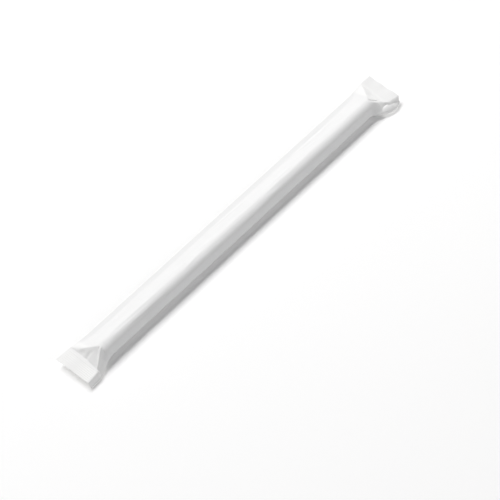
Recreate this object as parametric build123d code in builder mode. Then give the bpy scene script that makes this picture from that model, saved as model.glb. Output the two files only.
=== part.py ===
import os
from math import asin, atan2, cos, degrees, hypot, radians, sin

from build123d import *

# A drinking straw sealed in a paper sleeve, lying on its lap seam. Millimetres.
# X runs along the sleeve, Z is up, and the origin is under the middle of the sleeve.

# The straw that is sealed inside, and how far off the middle of the sleeve it lies
straw_length = 208.0
straw_diameter = 8.0
straw_offset = -2.6

# The paper, and its slack over the straw
paper_thickness = 0.06
crown_slack = 0.26

# The two side folds: how far each stands out from the side of the straw, and how far
# below the straw's middle. The far one has a brim, where the two sheets are flattened.
near_fold_reach = 1.8
near_fold_drop = 1.0
far_fold_reach = 7.4
far_fold_drop = 0.3
brim_width = 3.0
brim_thickness = 0.5

# The glued lap along the underside, and the flat that the straw presses it down to
lap_width = 5.0
lap_height = 2 * paper_thickness  # the overlap stands proud by a doubled sheet
lap_margin = 0.2
belly_width = lap_width + 2 * lap_margin

# The two ends
taper_length = 7.0  # from the rim of the straw down to the crimp
tab_length = 9.0  # crimped flat, out to the cut edge
tab_thickness = 0.4  # two sheets and the relief of the crimp
tab_gather = 0.4  # how much of a pressed edge's width its side fold takes up

# Where the straw's rims are, and where the crimps begin
taper_start = straw_length / 2
taper_end = taper_start + taper_length

# The crown lies round the straw, on the straw's own centre.
straw_radius = straw_diameter / 2
straw_height = lap_height + paper_thickness + straw_radius
crown_radius = straw_radius + paper_thickness + crown_slack
body_height = straw_height + crown_radius

near_fold = (straw_offset - straw_radius - near_fold_reach, straw_height - near_fold_drop)
far_fold = (straw_offset + straw_radius + far_fold_reach, straw_height - far_fold_drop)
brim_top = (far_fold[0] - brim_width, far_fold[1] + brim_thickness / 2)
brim_bottom = (far_fold[0] - brim_width, far_fold[1] - brim_thickness / 2)


def flank_slope(foot):
    """Slope in degrees of the sheet drawn tight from a point up to the crown."""
    reach = abs(foot[0] - straw_offset)
    rise = straw_height - foot[1]
    return degrees(atan2(rise, reach) + asin(crown_radius / hypot(reach, rise)))


def on_crown(angle):
    """The point of the crown at an angle, which counts up from the +Y side."""
    return (
        straw_offset + crown_radius * cos(radians(angle)),
        straw_height + crown_radius * sin(radians(angle)),
    )


# Where the sheet leaves the crown on each side
near_touch = 90 + flank_slope(near_fold)
far_touch = 90 - flank_slope(brim_top)

# The sleeve's section where the straw fills it, round from the near fold and back to it
belly_near = (straw_offset - belly_width / 2, lap_height)
belly_far = (straw_offset + belly_width / 2, lap_height)
centre = (straw_offset, straw_height)
with BuildSketch(Plane.YZ.offset(taper_start)) as filled_section:
    with BuildLine() as filled_outline:
        Line(near_fold, on_crown(near_touch))
        CenterArc(centre, crown_radius, near_touch, far_touch - near_touch)
        Line(on_crown(far_touch), brim_top)
        Line(brim_top, far_fold)
        Line(far_fold, brim_bottom)
        Line(brim_bottom, belly_far)
        Line(belly_far, belly_near)
        TangentArc(belly_near, near_fold, tangent=(-1, 0))
    make_face()

# Paper doesn't stretch, so the pressed sleeve is half as wide as its girth. It is
# pressed flat level with the side folds.
girth = sum(edge.length for edge in filled_outline.edges())
tab_side = girth / 4
tab_height = (near_fold[1] + far_fold[1]) / 2


def pressed(side, step, sheet):
    """A point on the way round a side fold, from its crease (0) on to a sheet (1)."""
    turn = radians(90 * step)
    return (
        side * (tab_side - tab_gather * (1 - cos(turn))),
        tab_height + sheet * sin(turn) * tab_thickness / 2,
    )


# The same eight edges pressed flat. The crown and the belly open out into the two
# sheets, and all the others close up into the side folds.
with BuildSketch(Plane.YZ.offset(taper_end)) as pressed_section:
    with BuildLine():
        Polyline(
            pressed(-1, 0, 1),
            pressed(-1, 1, 1),
            pressed(1, 1, 1),
            pressed(1, 1 / 2, 1),
            pressed(1, 0, 1),
            pressed(1, 1 / 2, -1),
            pressed(1, 1, -1),
            pressed(-1, 1, -1),
            close=True,
        )
    make_face()

with BuildPart() as wrapped_straw:
    # The filled length, then one end: the sheets fold down from the straw's rim and
    # close into the crimped tab. The other end is its mirror image.
    extrude(filled_section.sketch, amount=-straw_length)
    loft([filled_section.sketch, pressed_section.sketch], ruled=True)
    extrude(pressed_section.sketch, amount=tab_length)
    mirror(about=Plane.YZ)

    # The lap seam that the sleeve lies on, under the straw
    with BuildSketch(Plane.XY):
        with Locations((0, straw_offset)):
            Rectangle(straw_length, lap_width)
    extrude(amount=lap_height)

wrapped_straw.part.label = "wrapped_straw"

os.makedirs("parts", exist_ok=True)
export_step(wrapped_straw.part, "parts/wrapped_straw.step")

print("length", 2 * (taper_end + tab_length), "tab width", round(2 * tab_side, 2))
print("body width", round(far_fold[0] - near_fold[0], 2), "height", round(body_height, 2))
print("flank slopes", round(flank_slope(near_fold)), round(flank_slope(brim_top)))
print("volume", round(wrapped_straw.part.volume / 1000, 2), "cm3")
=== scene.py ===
import bpy
import numpy as np
from mathutils import Matrix, Vector


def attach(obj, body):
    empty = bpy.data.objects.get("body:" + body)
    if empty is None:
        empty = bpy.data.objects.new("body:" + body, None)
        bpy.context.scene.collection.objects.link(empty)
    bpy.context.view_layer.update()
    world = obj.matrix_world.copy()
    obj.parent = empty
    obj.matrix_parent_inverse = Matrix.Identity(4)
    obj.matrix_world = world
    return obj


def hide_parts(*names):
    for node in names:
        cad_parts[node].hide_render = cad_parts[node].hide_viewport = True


# A drinking straw sealed in a white paper sleeve. Shapes are worked out in millimetres
# and put into the mesh in metres. X runs along the sleeve and Z is up.

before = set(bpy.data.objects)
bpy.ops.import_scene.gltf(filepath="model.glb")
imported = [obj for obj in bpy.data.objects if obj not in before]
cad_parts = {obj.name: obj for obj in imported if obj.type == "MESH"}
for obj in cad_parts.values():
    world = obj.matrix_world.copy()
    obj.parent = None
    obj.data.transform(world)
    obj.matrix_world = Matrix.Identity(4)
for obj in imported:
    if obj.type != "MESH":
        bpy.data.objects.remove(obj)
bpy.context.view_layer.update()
mm = 0.001
print("loaded the frame")


def softMin(a, b, blend):
    # The lower of two surfaces, less (blend - distance)^2 / (4 blend) where they meet
    return np.minimum(a, b) - np.maximum(blend - np.abs(a - b), 0) ** 2 / (4 * blend)


def softMax(a, b, blend):
    # The higher of two surfaces, with the same rounding added
    return -softMin(-a, -b, blend)


def smoothStep(t):
    # 3t^2 - 2t^3, held at 0 and 1 outside them
    t = np.clip(t, 0, 1)
    return t * t * (3 - 2 * t)


def softLine(x, points, width):
    # Straight runs through (position, value) points with rounded corners: the first value,
    # plus each change of slope times (d + sqrt(d^2 + width^2)) / 2
    places, values = np.array(points, float).T
    slopes = np.concatenate([[0.0], np.diff(values) / np.diff(places), [0.0]])
    d = x[..., None] - places
    return values[0] + (np.diff(slopes) * (d + np.sqrt(d * d + width * width)) / 2).sum(-1)


def crease(x, y, start, end, width, height):
    # A ridge from start to end, or a groove if height is negative: height times
    # exp(-(distance / width)^2), times 4t(1 - t) along its length
    (x0, y0), (x1, y1) = start, end
    length = np.hypot(x1 - x0, y1 - y0)
    dx, dy = (x1 - x0) / length, (y1 - y0) / length
    t = ((x - x0) * dx + (y - y0) * dy) / length
    off = (y - y0) * dx - (x - x0) * dy
    return height * np.clip(4 * t * (1 - t), 0, 1) * np.exp(-((off / width) ** 2))


def hollow(x, y, middle, width, depth):
    # A dent: -depth times exp(-(dx / width)^2 - (dy / width)^2), one width for each axis
    dx, dy = (x - middle[0]) / width[0], (y - middle[1]) / width[1]
    return -depth * np.exp(-dx * dx - dy * dy)


sleeve = {
    "halfLength": 120.0,
    "strawY": -3.0,  # the straw lies off the middle, near one side fold
    "strawZ": 4.18,
    "crownRadius": 4.32,
    "rim": 104.0,  # where the straw inside ends
    "paper": 0.09,  # half the thickness of the two sheets pressed together
    "belly": (-5.3, 0.1),  # the flat underneath, under the straw
    "lap": (-5.1, -0.1),
    "lapHeight": 0.12,
    "fold": 0.25,  # how round a side fold is
    "endRows": 136,
    "bodyRows": 118,
    "columns": 120,  # on each sheet
}

# Each list gives places along X, with the height or offset there. The side folds come first.
nearFoldY = [(-120, -12.5), (-113, -12.7), (-108, -11.1), (-104.5, -9.3), (-102, -8.4),
             (98, -8.4)]
nearFoldZ = [(-120, 0.3), (-113, 0.4), (-108, 1.5), (-104, 2.8), (-101, 3.18), (98, 3.18)]
farFoldY = [(-120, 10.2), (-110.7, 9.7), (-103, 8.8), (103, 8.8), (112.8, 10.0), (120, 9.9)]
farFoldZ = [(-120, 3.6), (-110.7, 4.0), (-103, 3.88), (103, 3.88), (112.8, 4.2), (120, 3.9)]

# The foot of the long far flank: inside a flattened brim, and out at the fold by the tabs
brimY = [(-110.7, 9.4), (-103, 6.6), (-96, 5.8), (96, 5.8), (103, 6.6), (112.8, 9.7)]
brimZ = [(-110.7, 4.2), (-103, 4.4), (-96, 4.6), (96, 4.6), (103, 4.4), (112.8, 4.3)]

# The ridge where the top of each end turns down to its near side
ridgeY = [(-119, -10.3), (-111.7, -9.8), (-103, -3.6), (0, 0), (103, -6.6), (107.7, -6.4),
          (109.8, -7.0), (112, -9.8), (114.4, -10.2), (120, -10.7)]
sideSteepness = [(-110, 1.3), (-103, 0.94), (103, 0.97), (107, 1.05)]

# The ear: the gusset at one corner, which has rolled into a cone beside the tab
earY = [(98, -8.4), (100, -8.7), (103, -9.6), (106, -10.6), (110, -12.0), (114, -12.7),
        (117, -12.8), (120, -12.3)]
earZ = [(99, 3.1), (106, 1.9), (110, 1.3), (117, 1.2), (120, 1.6)]
earRadius = [(99, 0.0), (103, 0.7), (106, 1.1), (110, 1.8), (114, 1.9), (120, 0.6)]


def rowPlaces():
    # Evenly spaced rows in each of three runs, close together over the two ends
    end, body = sleeve["halfLength"], sleeve["rim"] - 8
    near = np.linspace(-end, -body, sleeve["endRows"], endpoint=False)
    middle = np.linspace(-body, body, sleeve["bodyRows"], endpoint=False)
    far = np.linspace(body, end, sleeve["endRows"] + 1)
    return np.concatenate([near, middle, far])


def earShape(x):
    # The cone's middle and radius, which grows from nothing where it leaves the side fold
    radius = np.maximum(softLine(x, earRadius, 0.8), 0) * smoothStep((x - 99) / 3)
    return softLine(x, earY, 1.0), softLine(x, earZ, 1.0), radius


def foldLines(x):
    # Y and Z of the two side folds: the near one changes over to the ear's outside
    middleY, middleZ, radius = earShape(x)
    ear = smoothStep((x - 99) / 5)
    nearY = softLine(x, nearFoldY, 1.5) * (1 - ear) + (middleY - radius) * ear
    nearZ = softLine(x, nearFoldZ, 1.5) * (1 - ear) + middleZ * ear
    return nearY, nearZ, softLine(x, farFoldY, 1.5), softLine(x, farFoldZ, 1.5)


def tabHeight(x, y):
    # Middle of the two pressed sheets: a gentle slope to the cut edge, a sine wave across,
    # and one slanting kink in the far tab
    near = 4.0 + 0.05 * (x + 111) + 0.12 * np.sin(0.32 * y + 0.5)
    kink = y + 1.0 - 0.16 * (x - 116)
    far = 4.25 - 0.04 * (x - 112) + 0.03 * np.abs(kink) - 0.02 * kink
    far = far + 0.12 * np.sin(0.75 * y + 0.4) * smoothStep((x - 114) / 6)
    return np.where(x < 0, near, far)


def innerLine(x, y):
    # How far past the crimp's slanting inner line a place is, towards the cut edge
    near = -x - 110.9 - 0.1 * np.maximum(-1.7 - y, 0)
    far = x - 112.8 - 0.128 * (y - 10)
    return np.where(x < 0, near, far)


def tightSheet(y, footY, footZ, side):
    # A straight line from a foot up to the crown's circle, which it touches: its slope is
    # atan(rise / reach) + asin(radius / distance). Also how far out it touches.
    radius = sleeve["crownRadius"]
    reach, rise = np.abs(footY - sleeve["strawY"]), sleeve["strawZ"] - footZ
    slope = np.arctan2(rise, reach) + np.arcsin(radius / np.hypot(reach, rise))
    return footZ + np.tan(slope) * (footY - y) * side, radius * np.sin(slope)


def filledTop(x, y, folds):
    # Over the straw: the crown's circle between two tight flanks, with the brim on one side
    nearY, nearZ, farY, farZ = folds
    middle, radius = sleeve["strawY"], sleeve["crownRadius"]
    footY, footZ = softLine(x, brimY, 2.0), softLine(x, brimZ, 2.0)
    nearFlank, nearTouch = tightSheet(y, nearY, nearZ, -1)
    farFlank, farTouch = tightSheet(y, footY, footZ, 1)
    crown = sleeve["strawZ"] + np.sqrt(np.maximum(radius**2 - (y - middle) ** 2, 0))
    fall = (farZ + sleeve["paper"] - footZ) / np.maximum(farY - footY, 0.3)
    flank = softMax(farFlank, footZ + fall * (y - footY), 0.15)
    far = np.where(y > middle + farTouch, flank, crown)
    return np.where(y < middle - nearTouch, nearFlank, far)


def endSlope(x, y):
    # From the tab up to the straw's rim: a flat slope, with a groove and two dents
    steepness = np.where(x < 0, 0.53, 0.51)
    flat = tabHeight(x, y) + sleeve["paper"] - steepness * np.minimum(innerLine(x, y), 0)
    groove = crease(x, y, (-106.4, -0.7), (-111.3, -1.0), 0.85, -0.28)
    dents = hollow(x, y, (-109.6, 2.6), (1.2, 1.8), 0.3)
    return flat + groove + dents + hollow(x, y, (109.3, 0.2), (1.6, 1.8), 0.35)


def endSide(x, y):
    # Down from the ridge on the near side: steeper with distance, and beside the near tab
    # a rolled flap that falls by 0.32 times the distance to the power 2.6
    ridge = softLine(x, ridgeY, 0.5)
    steepness = softLine(x, sideSteepness, 1.0)
    climb = np.where(x < 0, 0.53, 0.51) * np.maximum(-innerLine(x, ridge), 0)
    ridgeZ = tabHeight(x, y) + sleeve["paper"] + climb
    out, back = np.maximum(ridge - y, 0), np.maximum(y - ridge, 0)
    side = ridgeZ - out * (steepness - 0.5 * np.exp(-out / 3)) + back * steepness
    flap = ridgeZ - 0.32 * out**2.6
    side = side + (flap - side) * smoothStep((-x - 109) / 4)
    return side + 30 * smoothStep((103 - np.abs(x)) / 3), out


def earTop(x, y):
    # The cone's outer face falls by 0.22 out + 0.12 out^2 from its crest to the fold.
    # Behind the crest it rises a little towards the tab, and then drops steeply.
    middleY, middleZ, radius = earShape(x)
    out = middleY + 0.7 * radius - y
    behind = np.maximum(-out - 0.5 - smoothStep((x - 109) / 4), 0)
    face = middleZ + 1.3 * radius - 0.22 * out - 0.12 * np.maximum(out, 0) ** 2
    return face - 2 * behind


def topSheet(x, y, folds):
    # The lower of the filled sleeve, the end slope and its near side, but no lower than
    # the tab, and the ear over that
    sag = hollow(x, y, (-111.5, 4.6), (2.8, 2.3), 1.1)
    side, out = endSide(x, y)
    z = softMin(filledTop(x, y, folds) + sag, endSlope(x, y), 0.3)
    inwards = np.maximum(-innerLine(x, y), 0)
    tab = tabHeight(x, y) + sleeve["paper"] - 0.02 - 1.2 * inwards - 0.5 * out**2.4
    z = softMin(softMax(z, tab, 0.12), side, 0.2)
    return np.where(x > 99, softMax(z, earTop(x, y), 0.3), z)


def bottomSheet(x, y, folds, top):
    # The higher of the flat under the straw, a quarter of an ellipse up to the near fold,
    # straight lines up to the brim, and the tab. The lap seam stands down from the flat.
    nearY, nearZ, farY, farZ = folds
    lap, paper = sleeve["lapHeight"], sleeve["paper"]
    bellyNear, bellyFar = sleeve["belly"]
    footY, footZ = softLine(x, brimY, 2.0), softLine(x, brimZ, 2.0)
    t = np.clip((bellyNear - y) / np.maximum(bellyNear - nearY, 0.1), 0, 1)
    near = lap + (nearZ - lap) * (1 - np.sqrt(1 - t * t))
    far = lap + (footZ - 0.5 - lap) / (footY - bellyFar) * (y - bellyFar)
    fall = 0.9 * (farZ - footZ + 0.35) / np.maximum(farY - footY, 0.3)
    brim = farZ - paper - fall * np.maximum(farY - y, 0)
    z = np.maximum(near, softMax(lap + 0 * y, softMin(far, brim, 0.2), 0.3))
    rise = lap + 0.5 * (np.abs(x) - sleeve["rim"])
    z = softMax(z, softMin(rise, tabHeight(x, y) - paper, 0.3), 0.3)

    middleY, middleZ, radius = earShape(x)
    off = np.abs(y - middleY)
    roll = middleZ - np.sqrt(np.maximum(radius**2 - off**2, 0))
    roll = roll + 2 * np.maximum(off - radius, 0)
    z = np.where(x > 101, softMin(z, np.maximum(roll, 0.05), 0.2), z)

    lapNear, lapFar = sleeve["lap"]
    seam = smoothStep((y - lapNear) / 0.15 + 1) * smoothStep((lapFar - y) / 0.15 + 1)
    z = z - lap * seam * (1 - 0.4 * smoothStep((np.abs(x) - 110) / 3))
    return np.minimum(z, top - 2 * paper)


crimp = {
    "pitch": 1.05,
    "near": 0.026,
    "far": 0.008,  # this tab's is pressed shallower
    "paintedLight": (0.4, -0.2),  # painted light on the near tab and painted shade on the far one
}


def crimpMask(x, y):
    # 1 on the crimped tabs and 0 inside their inner line, weaker in the middle of a tab
    middle = 1 - 0.75 * np.exp(-(((y - 1) / 3.2) ** 2))
    return smoothStep((innerLine(x, y) - 0.5) / 1.2) * middle * smoothStep((y + 10.2) / 0.5)


def crimpRelief(x, y):
    # A square waffle: the sum of two cosines, the one across the sleeve twice as deep
    turns = 2 * np.pi / crimp["pitch"]
    height = np.where(x < 0, crimp["near"], crimp["far"])
    return height * (0.8 * np.cos(turns * x) + 1.6 * np.cos(turns * y)) * crimpMask(x, y)


wrinkles = {
    "seed": 11,
    "count": 60,
    "height": (0.04, 0.14),
    "width": (0.4, 1.1),
    "length": (8, 40),
    "drift": 2.0,  # how far one may wander across the sleeve
}

# Creases at the two ends, each from its start to its end, with its width and height
endCreases = [
    ((-102.6, -3.4), (-113.0, -10.2), 0.6, 0.5),  # along the near ridge
    ((-97.0, -6.3), (-114.0, -11.0), 1.2, 0.4),  # a swelling on the side below it
    ((-103.0, -2.6), (-104.6, -3.6), 0.2, -0.35),
    ((-102.4, -4.0), (-103.5, -5.3), 0.25, -0.35),
    ((-105.0, -3.5), (-107.9, -5.4), 0.32, -0.16),
    ((104.0, -2.5), (108.6, -5.9), 0.22, -0.85),  # a tuck at the far end
    ((104.0, -1.9), (108.6, -5.2), 0.3, 0.2),
]


def wrinkleRelief(x, y):
    # The sum of the end creases and of long faint ones scattered over the body
    rng = np.random.default_rng(wrinkles["seed"])
    total = sum(crease(x, y, *values) for values in endCreases)
    for _ in range(wrinkles["count"]):
        length = rng.uniform(*wrinkles["length"])
        start = rng.uniform(-104, 104 - length), rng.uniform(-7, 7)
        end = start[0] + length, start[1] + rng.uniform(-1, 1) * wrinkles["drift"]
        height = rng.uniform(*wrinkles["height"]) * rng.choice([-1, 1])
        total = total + crease(x, y, start, end, rng.uniform(*wrinkles["width"]), height)
    return total


def roundFold(z, gap, foldZ, side):
    # Keeps a sheet within 2.2 sqrt(gap^2 + 0.4 gap fold) of a side fold's height
    limit = foldZ + side * 2.2 * np.sqrt(gap * gap + 0.4 * gap * sleeve["fold"])
    return softMin(z, limit, 0.25) if side > 0 else softMax(z, limit, 0.25)


def cutShift(x, y):
    # How far each cut edge is out of square and wavy, fading to nothing 8 mm inside it
    near = -0.03 * y + 0.06 * np.sin(1.1 * y + 1)
    far = 0.015 * y + 0.1 * np.sin(0.9 * y + 0.9) + 0.06 * np.sin(0.37 * y)
    far = far - 1.5 * smoothStep((-10.6 - y) / 2)  # the ear's end is set back
    return smoothStep((np.abs(x) - 112) / 8) * np.where(x < 0, near, far)


def sleeveRings():
    # A ring at each row: the top sheet from the near fold to the far one, the bottom back
    n = sleeve["columns"]
    x = rowPlaces()[:, None]
    folds = [line[:, None] for line in foldLines(x[:, 0])]
    nearY, nearZ, farY, farZ = folds
    across = np.linspace(0, 1, n + 1)[None, :]
    y = nearY + (farY - nearY) * across
    body = 1 - smoothStep((np.abs(x) - 100) / 10)
    # The bottom's points lie closer together at the folds
    spread = across - 0.9 * body * np.sin(2 * np.pi * across) / (2 * np.pi)
    yBack = nearY + (farY - nearY) * spread
    x = np.broadcast_to(x, y.shape)

    inset = smoothStep(np.minimum(y - nearY, farY - y) / 0.8)
    top = topSheet(x, y, folds) + (crimpRelief(x, y) + wrinkleRelief(x, y)) * inset
    roof = topSheet(x, yBack, folds)
    for foldY, foldZ in ((nearY, nearZ), (farY, farZ)):
        top = roundFold(top, np.abs(y - foldY), foldZ, 1)
        roof = roundFold(roof, np.abs(yBack - foldY), foldZ, 1)
    bottom = bottomSheet(x, yBack, folds, roof) + crimpRelief(x, yBack)
    for foldY, foldZ in ((nearY, nearZ), (farY, farZ)):
        bottom = roundFold(bottom, np.abs(yBack - foldY), foldZ, -1)
    top[:, :1] = nearZ
    bottom[:, -1:] = farZ

    ringY = np.concatenate([y[:, :n], yBack[:, n:0:-1]], 1)
    ringZ = np.concatenate([top[:, :n], bottom[:, n:0:-1]], 1)
    ringX = np.broadcast_to(x[:, :1], ringY.shape)
    return np.stack([ringX + cutShift(ringX, ringY), ringY, ringZ], -1)


def ringMesh(name, grid, values):
    # Quads between neighbouring rings, and a strip between the sheets at each cut edge
    rows, cols = grid.shape[:2]
    n = cols // 2
    index = np.arange(rows * cols).reshape(rows, cols)
    here, ahead = index[:-1], index[1:]
    sides = np.stack([here, ahead, np.roll(ahead, -1, 1), np.roll(here, -1, 1)], -1)
    j = np.arange(1, n - 1)
    strip = np.stack([j, (2 * n - j) % cols, (2 * n - j - 1) % cols, j + 1], -1)
    tips = np.array([[0, cols - 1, 1], [n, n - 1, n + 1]])
    first, last = index[0], index[-1]
    faces = sides.reshape(-1, 4).tolist() + last[strip].tolist() + last[tips].tolist()
    faces += first[strip[:, ::-1]].tolist() + first[tips[:, ::-1]].tolist()
    mesh = bpy.data.meshes.new(name)
    mesh.from_pydata((grid.reshape(-1, 3) * mm).tolist(), [], faces)
    mesh.polygons.foreach_set("use_smooth", np.ones(len(mesh.polygons), bool))
    for key, value in values.items():
        attribute = mesh.attributes.new(key, "FLOAT", "POINT")
        attribute.data.foreach_set("value", value.reshape(-1).astype(np.float32))
    piece = bpy.data.objects.new(name, mesh)
    bpy.context.scene.collection.objects.link(piece)
    return piece


grid = sleeveRings()
gridX, gridY, gridZ = grid[..., 0], grid[..., 1], grid[..., 2]
empty = smoothStep((np.abs(gridX) - sleeve["rim"] - 0.5) / 2.5)  # no straw inside
# The tabs' share: painted light on the near tab and painted shade on the far tab
tabPaintedLight = crimpMask(gridX, gridY) * np.where(gridX < 0, *crimp["paintedLight"])
# Painted light: the strawless ends are painted lighter, partly the paper's own look there and
# partly light coming through the thin ends
paintedLight = 0.6 * empty + tabPaintedLight
paperSleeve = ringMesh("paperSleeve", grid, {"empty": empty, "paintedLight": paintedLight})
paperSleeve.data.set_sharp_from_angle(angle=np.radians(70))
print("sleeve", len(paperSleeve.data.polygons), "faces, lowest", round(gridZ.min(), 3))


class Flow:
    # Wraps a node's output, so that sums on values add Math nodes to the same tree
    def __init__(self, tree, socket):
        self.tree = tree
        self.socket = socket

    def make(self, kind, settings, inputs, output=0):
        # Adds a node: its settings first, then the value or link of each socket
        node = self.tree.nodes.new(kind)
        for key, value in settings.items():
            setattr(node, key, value)
        for key, value in inputs.items():
            if isinstance(value, Flow):
                self.tree.links.new(value.socket, node.inputs[key])
            else:
                node.inputs[key].default_value = value
        return Flow(self.tree, node.outputs[output])

    def maths(self, operation, first, second):
        return self.make("ShaderNodeMath", {"operation": operation}, {0: first, 1: second})

    def __add__(self, other):
        return self.maths("ADD", self, other)

    def __radd__(self, other):
        return self.maths("ADD", other, self)

    def __sub__(self, other):
        return self.maths("SUBTRACT", self, other)

    def __rsub__(self, other):
        return self.maths("SUBTRACT", other, self)

    def __mul__(self, other):
        return self.maths("MULTIPLY", self, other)

    def __rmul__(self, other):
        return self.maths("MULTIPLY", other, self)

    def feed(self, socket):
        self.tree.links.new(self.socket, socket)


def newMaterial(name):
    # A material's node tree and its Principled shader
    material = bpy.data.materials.new(name)
    material.use_nodes = True
    tree = material.node_tree
    return material, tree, next(n for n in tree.nodes if n.type == "BSDF_PRINCIPLED")


paper = {
    "bright": (0.804, 0.804, 0.804, 1),
    "dull": (0.778, 0.778, 0.778, 1),
    "empty": (0.88, 0.879, 0.872, 1),  # lighter where no dark straw lies behind the paper: partly the paper's own look there, partly painted light for light coming through the thin ends
    "roughness": 0.78,
    "fibre": 0.000012,  # height of the fibres, metres
    "through": 0.57,  # share of a lamp's light that one empty sheet lets through
    "glow": (1.0, 0.995, 0.985, 1),
}


def paperMaterial():
    # White tissue-weight paper. Colour is a mix by soft clouds and by fibres drawn out
    # along the sleeve, with painted light and painted shade on the ends and tabs over it,
    # and the height is the fibres and finer specks added together.
    material, tree, shader = newMaterial("wrapperPaper")
    coordinates = tree.nodes.new("ShaderNodeTexCoord")
    place = Flow(tree, coordinates.outputs["Object"])
    along = place.make("ShaderNodeMapping", {}, {"Vector": place, "Scale": (0.35, 1.0, 1.0)})

    def noise(where, scale, detail, roughness=0.5):
        settings = {"Vector": where, "Scale": scale, "Detail": detail, "Roughness": roughness}
        return place.make("ShaderNodeTexNoise", {}, settings)

    def marked(name):
        return place.make("ShaderNodeAttribute", {"attribute_name": name}, {}, "Fac")

    def blend(share, first, second):
        colours = {0: share, 6: first, 7: second}
        return place.make("ShaderNodeMix", {"data_type": "RGBA"}, colours, 2)

    cloud, speck = noise(place, 170.0, 4.0), noise(place, 900.0, 2.0)
    fibre = noise(along, 3200.0, 3.0, 0.7)
    paintedLight, empty = marked("paintedLight"), marked("empty")
    white = blend((cloud * 0.7 + fibre * 0.3) * 1.6 - 0.3, paper["dull"], paper["bright"])
    # Painted light: the ends and the near tab are mixed towards the lighter white, and the far
    # tab away from it as painted shade
    blend(paintedLight, white, paper["empty"]).feed(shader.inputs["Base Color"])
    rough = paper["roughness"] + (cloud - 0.5) * 0.12 - paintedLight * 0.08
    rough.feed(shader.inputs["Roughness"])
    relief = {"Strength": 0.6, "Distance": paper["fibre"], "Height": fibre * 0.7 + speck * 0.6}
    place.make("ShaderNodeBump", {}, relief).feed(shader.inputs["Normal"])
    shader.inputs["Specular IOR Level"].default_value = 0.3

    # The empty ends cast only a pale shadow, because lamplight passes through the paper
    opaque = Flow(tree, shader.outputs[0])
    glow = place.make("ShaderNodeBsdfTransparent", {}, {"Color": paper["glow"]})
    sheer = {0: empty * paper["through"], 1: opaque, 2: glow}
    toLamp = place.make("ShaderNodeLightPath", {}, {}, "Is Shadow Ray")
    shaded = {0: toLamp, 1: opaque, 2: place.make("ShaderNodeMixShader", {}, sheer)}
    surface = place.make("ShaderNodeMixShader", {}, shaded)
    surface.feed(tree.nodes["Material Output"].inputs["Surface"])
    return material


paperSleeve.data.materials.append(paperMaterial())
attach(paperSleeve, "root")
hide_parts("wrapped_straw")
print("paper on")

studio = {
    "floor": (0.985, 0.985, 0.985, 1),
    "floorHalf": 3.0,
    "distance": 2.5,  # from the sleeve to each lamp
    "keyFrom": (0.15, 0.87, 1.0),  # direction to the lamp
    "keySize": (2.0, 0.85),  # long way along the sleeve
    "keyPower": 70.0,
    "keyColor": (1.0, 0.997, 0.995),
    "fillFrom": (0.3, -1.0, 0.4),
    "fillSize": (3.0, 3.0),
    "fillPower": 32.0,
    "fillColor": (1.0, 1.0, 1.0),
    "sky": (0.985, 0.99, 1.0, 1),
    "skyStrength": 0.15,
}


def addLamp(name):
    # A rectangle that faces the sleeve from its direction, long way level with X
    data = bpy.data.lights.new(name, "AREA")
    data.shape = "RECTANGLE"
    data.size, data.size_y = studio[name + "Size"]
    data.energy = studio[name + "Power"]
    data.color = studio[name + "Color"]
    away = Vector(studio[name + "From"]).normalized()
    level = (Vector((1, 0, 0)) - away * away.x).normalized()
    lamp = bpy.data.objects.new(name, data)
    lamp.location = away * studio["distance"]
    lamp.rotation_euler = Matrix((level, away.cross(level), away)).transposed().to_euler()
    bpy.context.scene.collection.objects.link(lamp)


def buildStudio():
    # A wide pale floor, a soft key lamp above and behind, a low fill and an even sky
    half = studio["floorHalf"]
    mesh = bpy.data.meshes.new("floor")
    corners = [(-half, -half, 0), (half, -half, 0), (half, half, 0), (-half, half, 0)]
    mesh.from_pydata(corners, [], [(0, 1, 2, 3)])
    floor = bpy.data.objects.new("floor", mesh)
    bpy.context.scene.collection.objects.link(floor)
    material, _, shader = newMaterial("floorCard")
    shader.inputs["Base Color"].default_value = studio["floor"]
    shader.inputs["Roughness"].default_value = 0.9
    shader.inputs["Specular IOR Level"].default_value = 0.1
    mesh.materials.append(material)

    addLamp("key")
    addLamp("fill")
    world = bpy.data.worlds.new("studio")
    world.use_nodes = True
    sky = world.node_tree.nodes["Background"]
    sky.inputs["Color"].default_value = studio["sky"]
    sky.inputs["Strength"].default_value = studio["skyStrength"]
    bpy.context.scene.world = world
    bpy.context.scene.view_settings.view_transform = "Standard"


def buildCamera():
    # Looks down at the sleeve from beyond its near end
    back = Vector((-0.4324, -0.3803, 0.8175)).normalized()
    lens = bpy.data.cameras.new("camera")
    lens.lens = 135.08
    lens.sensor_width = 36.0
    lens.clip_end = 20.0
    camera = bpy.data.objects.new("camera", lens)
    camera.location = Vector((-7.08, -16.03, 0)) * mm + back * 0.9561
    camera.rotation_euler = back.to_track_quat("Z", "Y").to_euler()
    bpy.context.scene.collection.objects.link(camera)
    bpy.context.scene.camera = camera


buildStudio()
buildCamera()
print("studio and camera ready")
